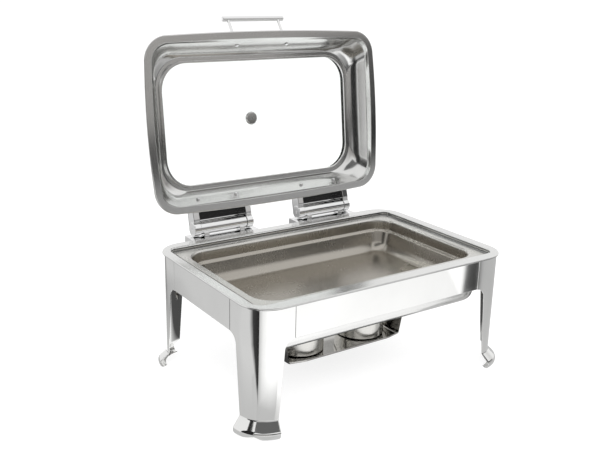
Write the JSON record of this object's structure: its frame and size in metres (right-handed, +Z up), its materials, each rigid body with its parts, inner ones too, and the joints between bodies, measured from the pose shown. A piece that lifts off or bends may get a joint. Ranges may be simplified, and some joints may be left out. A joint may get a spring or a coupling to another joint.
{
  "type": "chafing dish food warmer",
  "caption": "Table-top food warmer: stand with corner legs, water pan and food pan, hinged lid with a glass window, and a fuel tray with round fuel holders.",
  "frame": {"origin": "on the floor, under the middle of the whole footprint with the lid open", "axes": "+X along the length of the pans to the right, -Y to the front where the lid handle is used, +Z up"},
  "size_m": [0.6182, 0.5322, 0.6698],
  "materials": {
    "mirror_steel": "mirror polished stainless steel",
    "rim_steel": "fine satin stainless steel",
    "food_pan_steel": "drawn satin stainless steel",
    "lid_steel": "satin stainless steel",
    "chrome": "bright chrome",
    "plain_steel": "plain stainless steel",
    "dark_mirror_steel": "polished stainless steel",
    "holder_steel": "brushed stainless steel",
    "window_glass": "clear tempered glass",
    "gasket": "soft silicone rubber"
  },
  "bodies": {
    "stand": {"leg_front_left": "mirror_steel", "leg_front_right": "mirror_steel", "leg_rear_left": "mirror_steel", "leg_rear_right": "mirror_steel", "rail_front": "mirror_steel", "rail_rear": "mirror_steel", "rail_left": "mirror_steel", "rail_right": "mirror_steel", "seam_strap_front_rail_left": "plain_steel", "seam_strap_front_rail_right": "plain_steel", "seam_strap_rear_rail_left": "plain_steel", "seam_strap_rear_rail_right": "plain_steel", "seam_strap_left_rail_front": "plain_steel", "seam_strap_left_rail_rear": "plain_steel", "seam_strap_right_rail_front": "plain_steel", "seam_strap_right_rail_rear": "plain_steel", "hinge_base_left": "chrome", "hinge_base_right": "chrome", "hinge_barrel_left": "chrome", "hinge_barrel_right": "chrome", "hinge_pin_left": "plain_steel", "hinge_pin_right": "plain_steel", "hinge_base_bolt_left_inner": "plain_steel", "hinge_base_bolt_left_outer": "plain_steel", "hinge_base_bolt_right_inner": "plain_steel", "hinge_base_bolt_right_outer": "plain_steel"},
    "water_pan": {"water_pan": "rim_steel", "fuel_tray": "dark_mirror_steel"},
    "food_pan": {"food_pan": "food_pan_steel"},
    "lid": {"lid_shell": "lid_steel", "window_trim_inner": "lid_steel", "window_gasket": "gasket", "lid_glass": "window_glass", "window_trim_outer": "lid_steel", "vent_button": "lid_steel", "vent_cap": "chrome", "handle_bar": "chrome", "handle_post_left": "chrome", "handle_post_right": "chrome", "handle_screw_left": "chrome", "handle_screw_right": "chrome", "hinge_bracket_left": "chrome", "hinge_bracket_right": "chrome", "lid_bolt_left_inner": "chrome", "lid_bolt_left_outer": "chrome", "lid_bolt_right_inner": "chrome", "lid_bolt_right_outer": "chrome"},
    "holder_left": {"fuel_holder_left": "holder_steel", "fuel_collar_left": "holder_steel", "shutter_rivet_left": "holder_steel"},
    "holder_right": {"fuel_holder_right": "holder_steel", "fuel_collar_right": "holder_steel", "shutter_rivet_right": "holder_steel"},
    "shutter_left": {"fuel_shutter_left": "holder_steel"},
    "shutter_right": {"fuel_shutter_right": "holder_steel"}
  },
  "joints": [
    {"name": "lid_hinge", "type": "hinge", "parent": "stand", "child": "lid", "pos_m": [0, 0.15701, 0.2523], "axis": [-1, 0, 0], "range_deg": [-97, 0]},
    {"name": "water_pan_lift", "type": "slide", "parent": "stand", "child": "water_pan", "axis": [0, 0, 1], "range_m": [0, 0.2]},
    {"name": "food_pan_lift", "type": "slide", "parent": "water_pan", "child": "food_pan", "axis": [0, 0, 1], "range_m": [0, 0.15]},
    {"name": "holder_left_lift", "type": "slide", "parent": "water_pan", "child": "holder_left", "axis": [0, 0, 1], "range_m": [0, 0.015]},
    {"name": "holder_right_lift", "type": "slide", "parent": "water_pan", "child": "holder_right", "axis": [0, 0, 1], "range_m": [0, 0.015]},
    {"name": "shutter_left_swing", "type": "hinge", "parent": "holder_left", "child": "shutter_left", "pos_m": [-0.076, -0.09769, 0.1066], "axis": [0, 0, 1], "range_deg": [-100, 0]},
    {"name": "shutter_right_swing", "type": "hinge", "parent": "holder_right", "child": "shutter_right", "pos_m": [0.076, -0.09769, 0.1066], "axis": [0, 0, 1], "range_deg": [0, 100]}
  ]
}
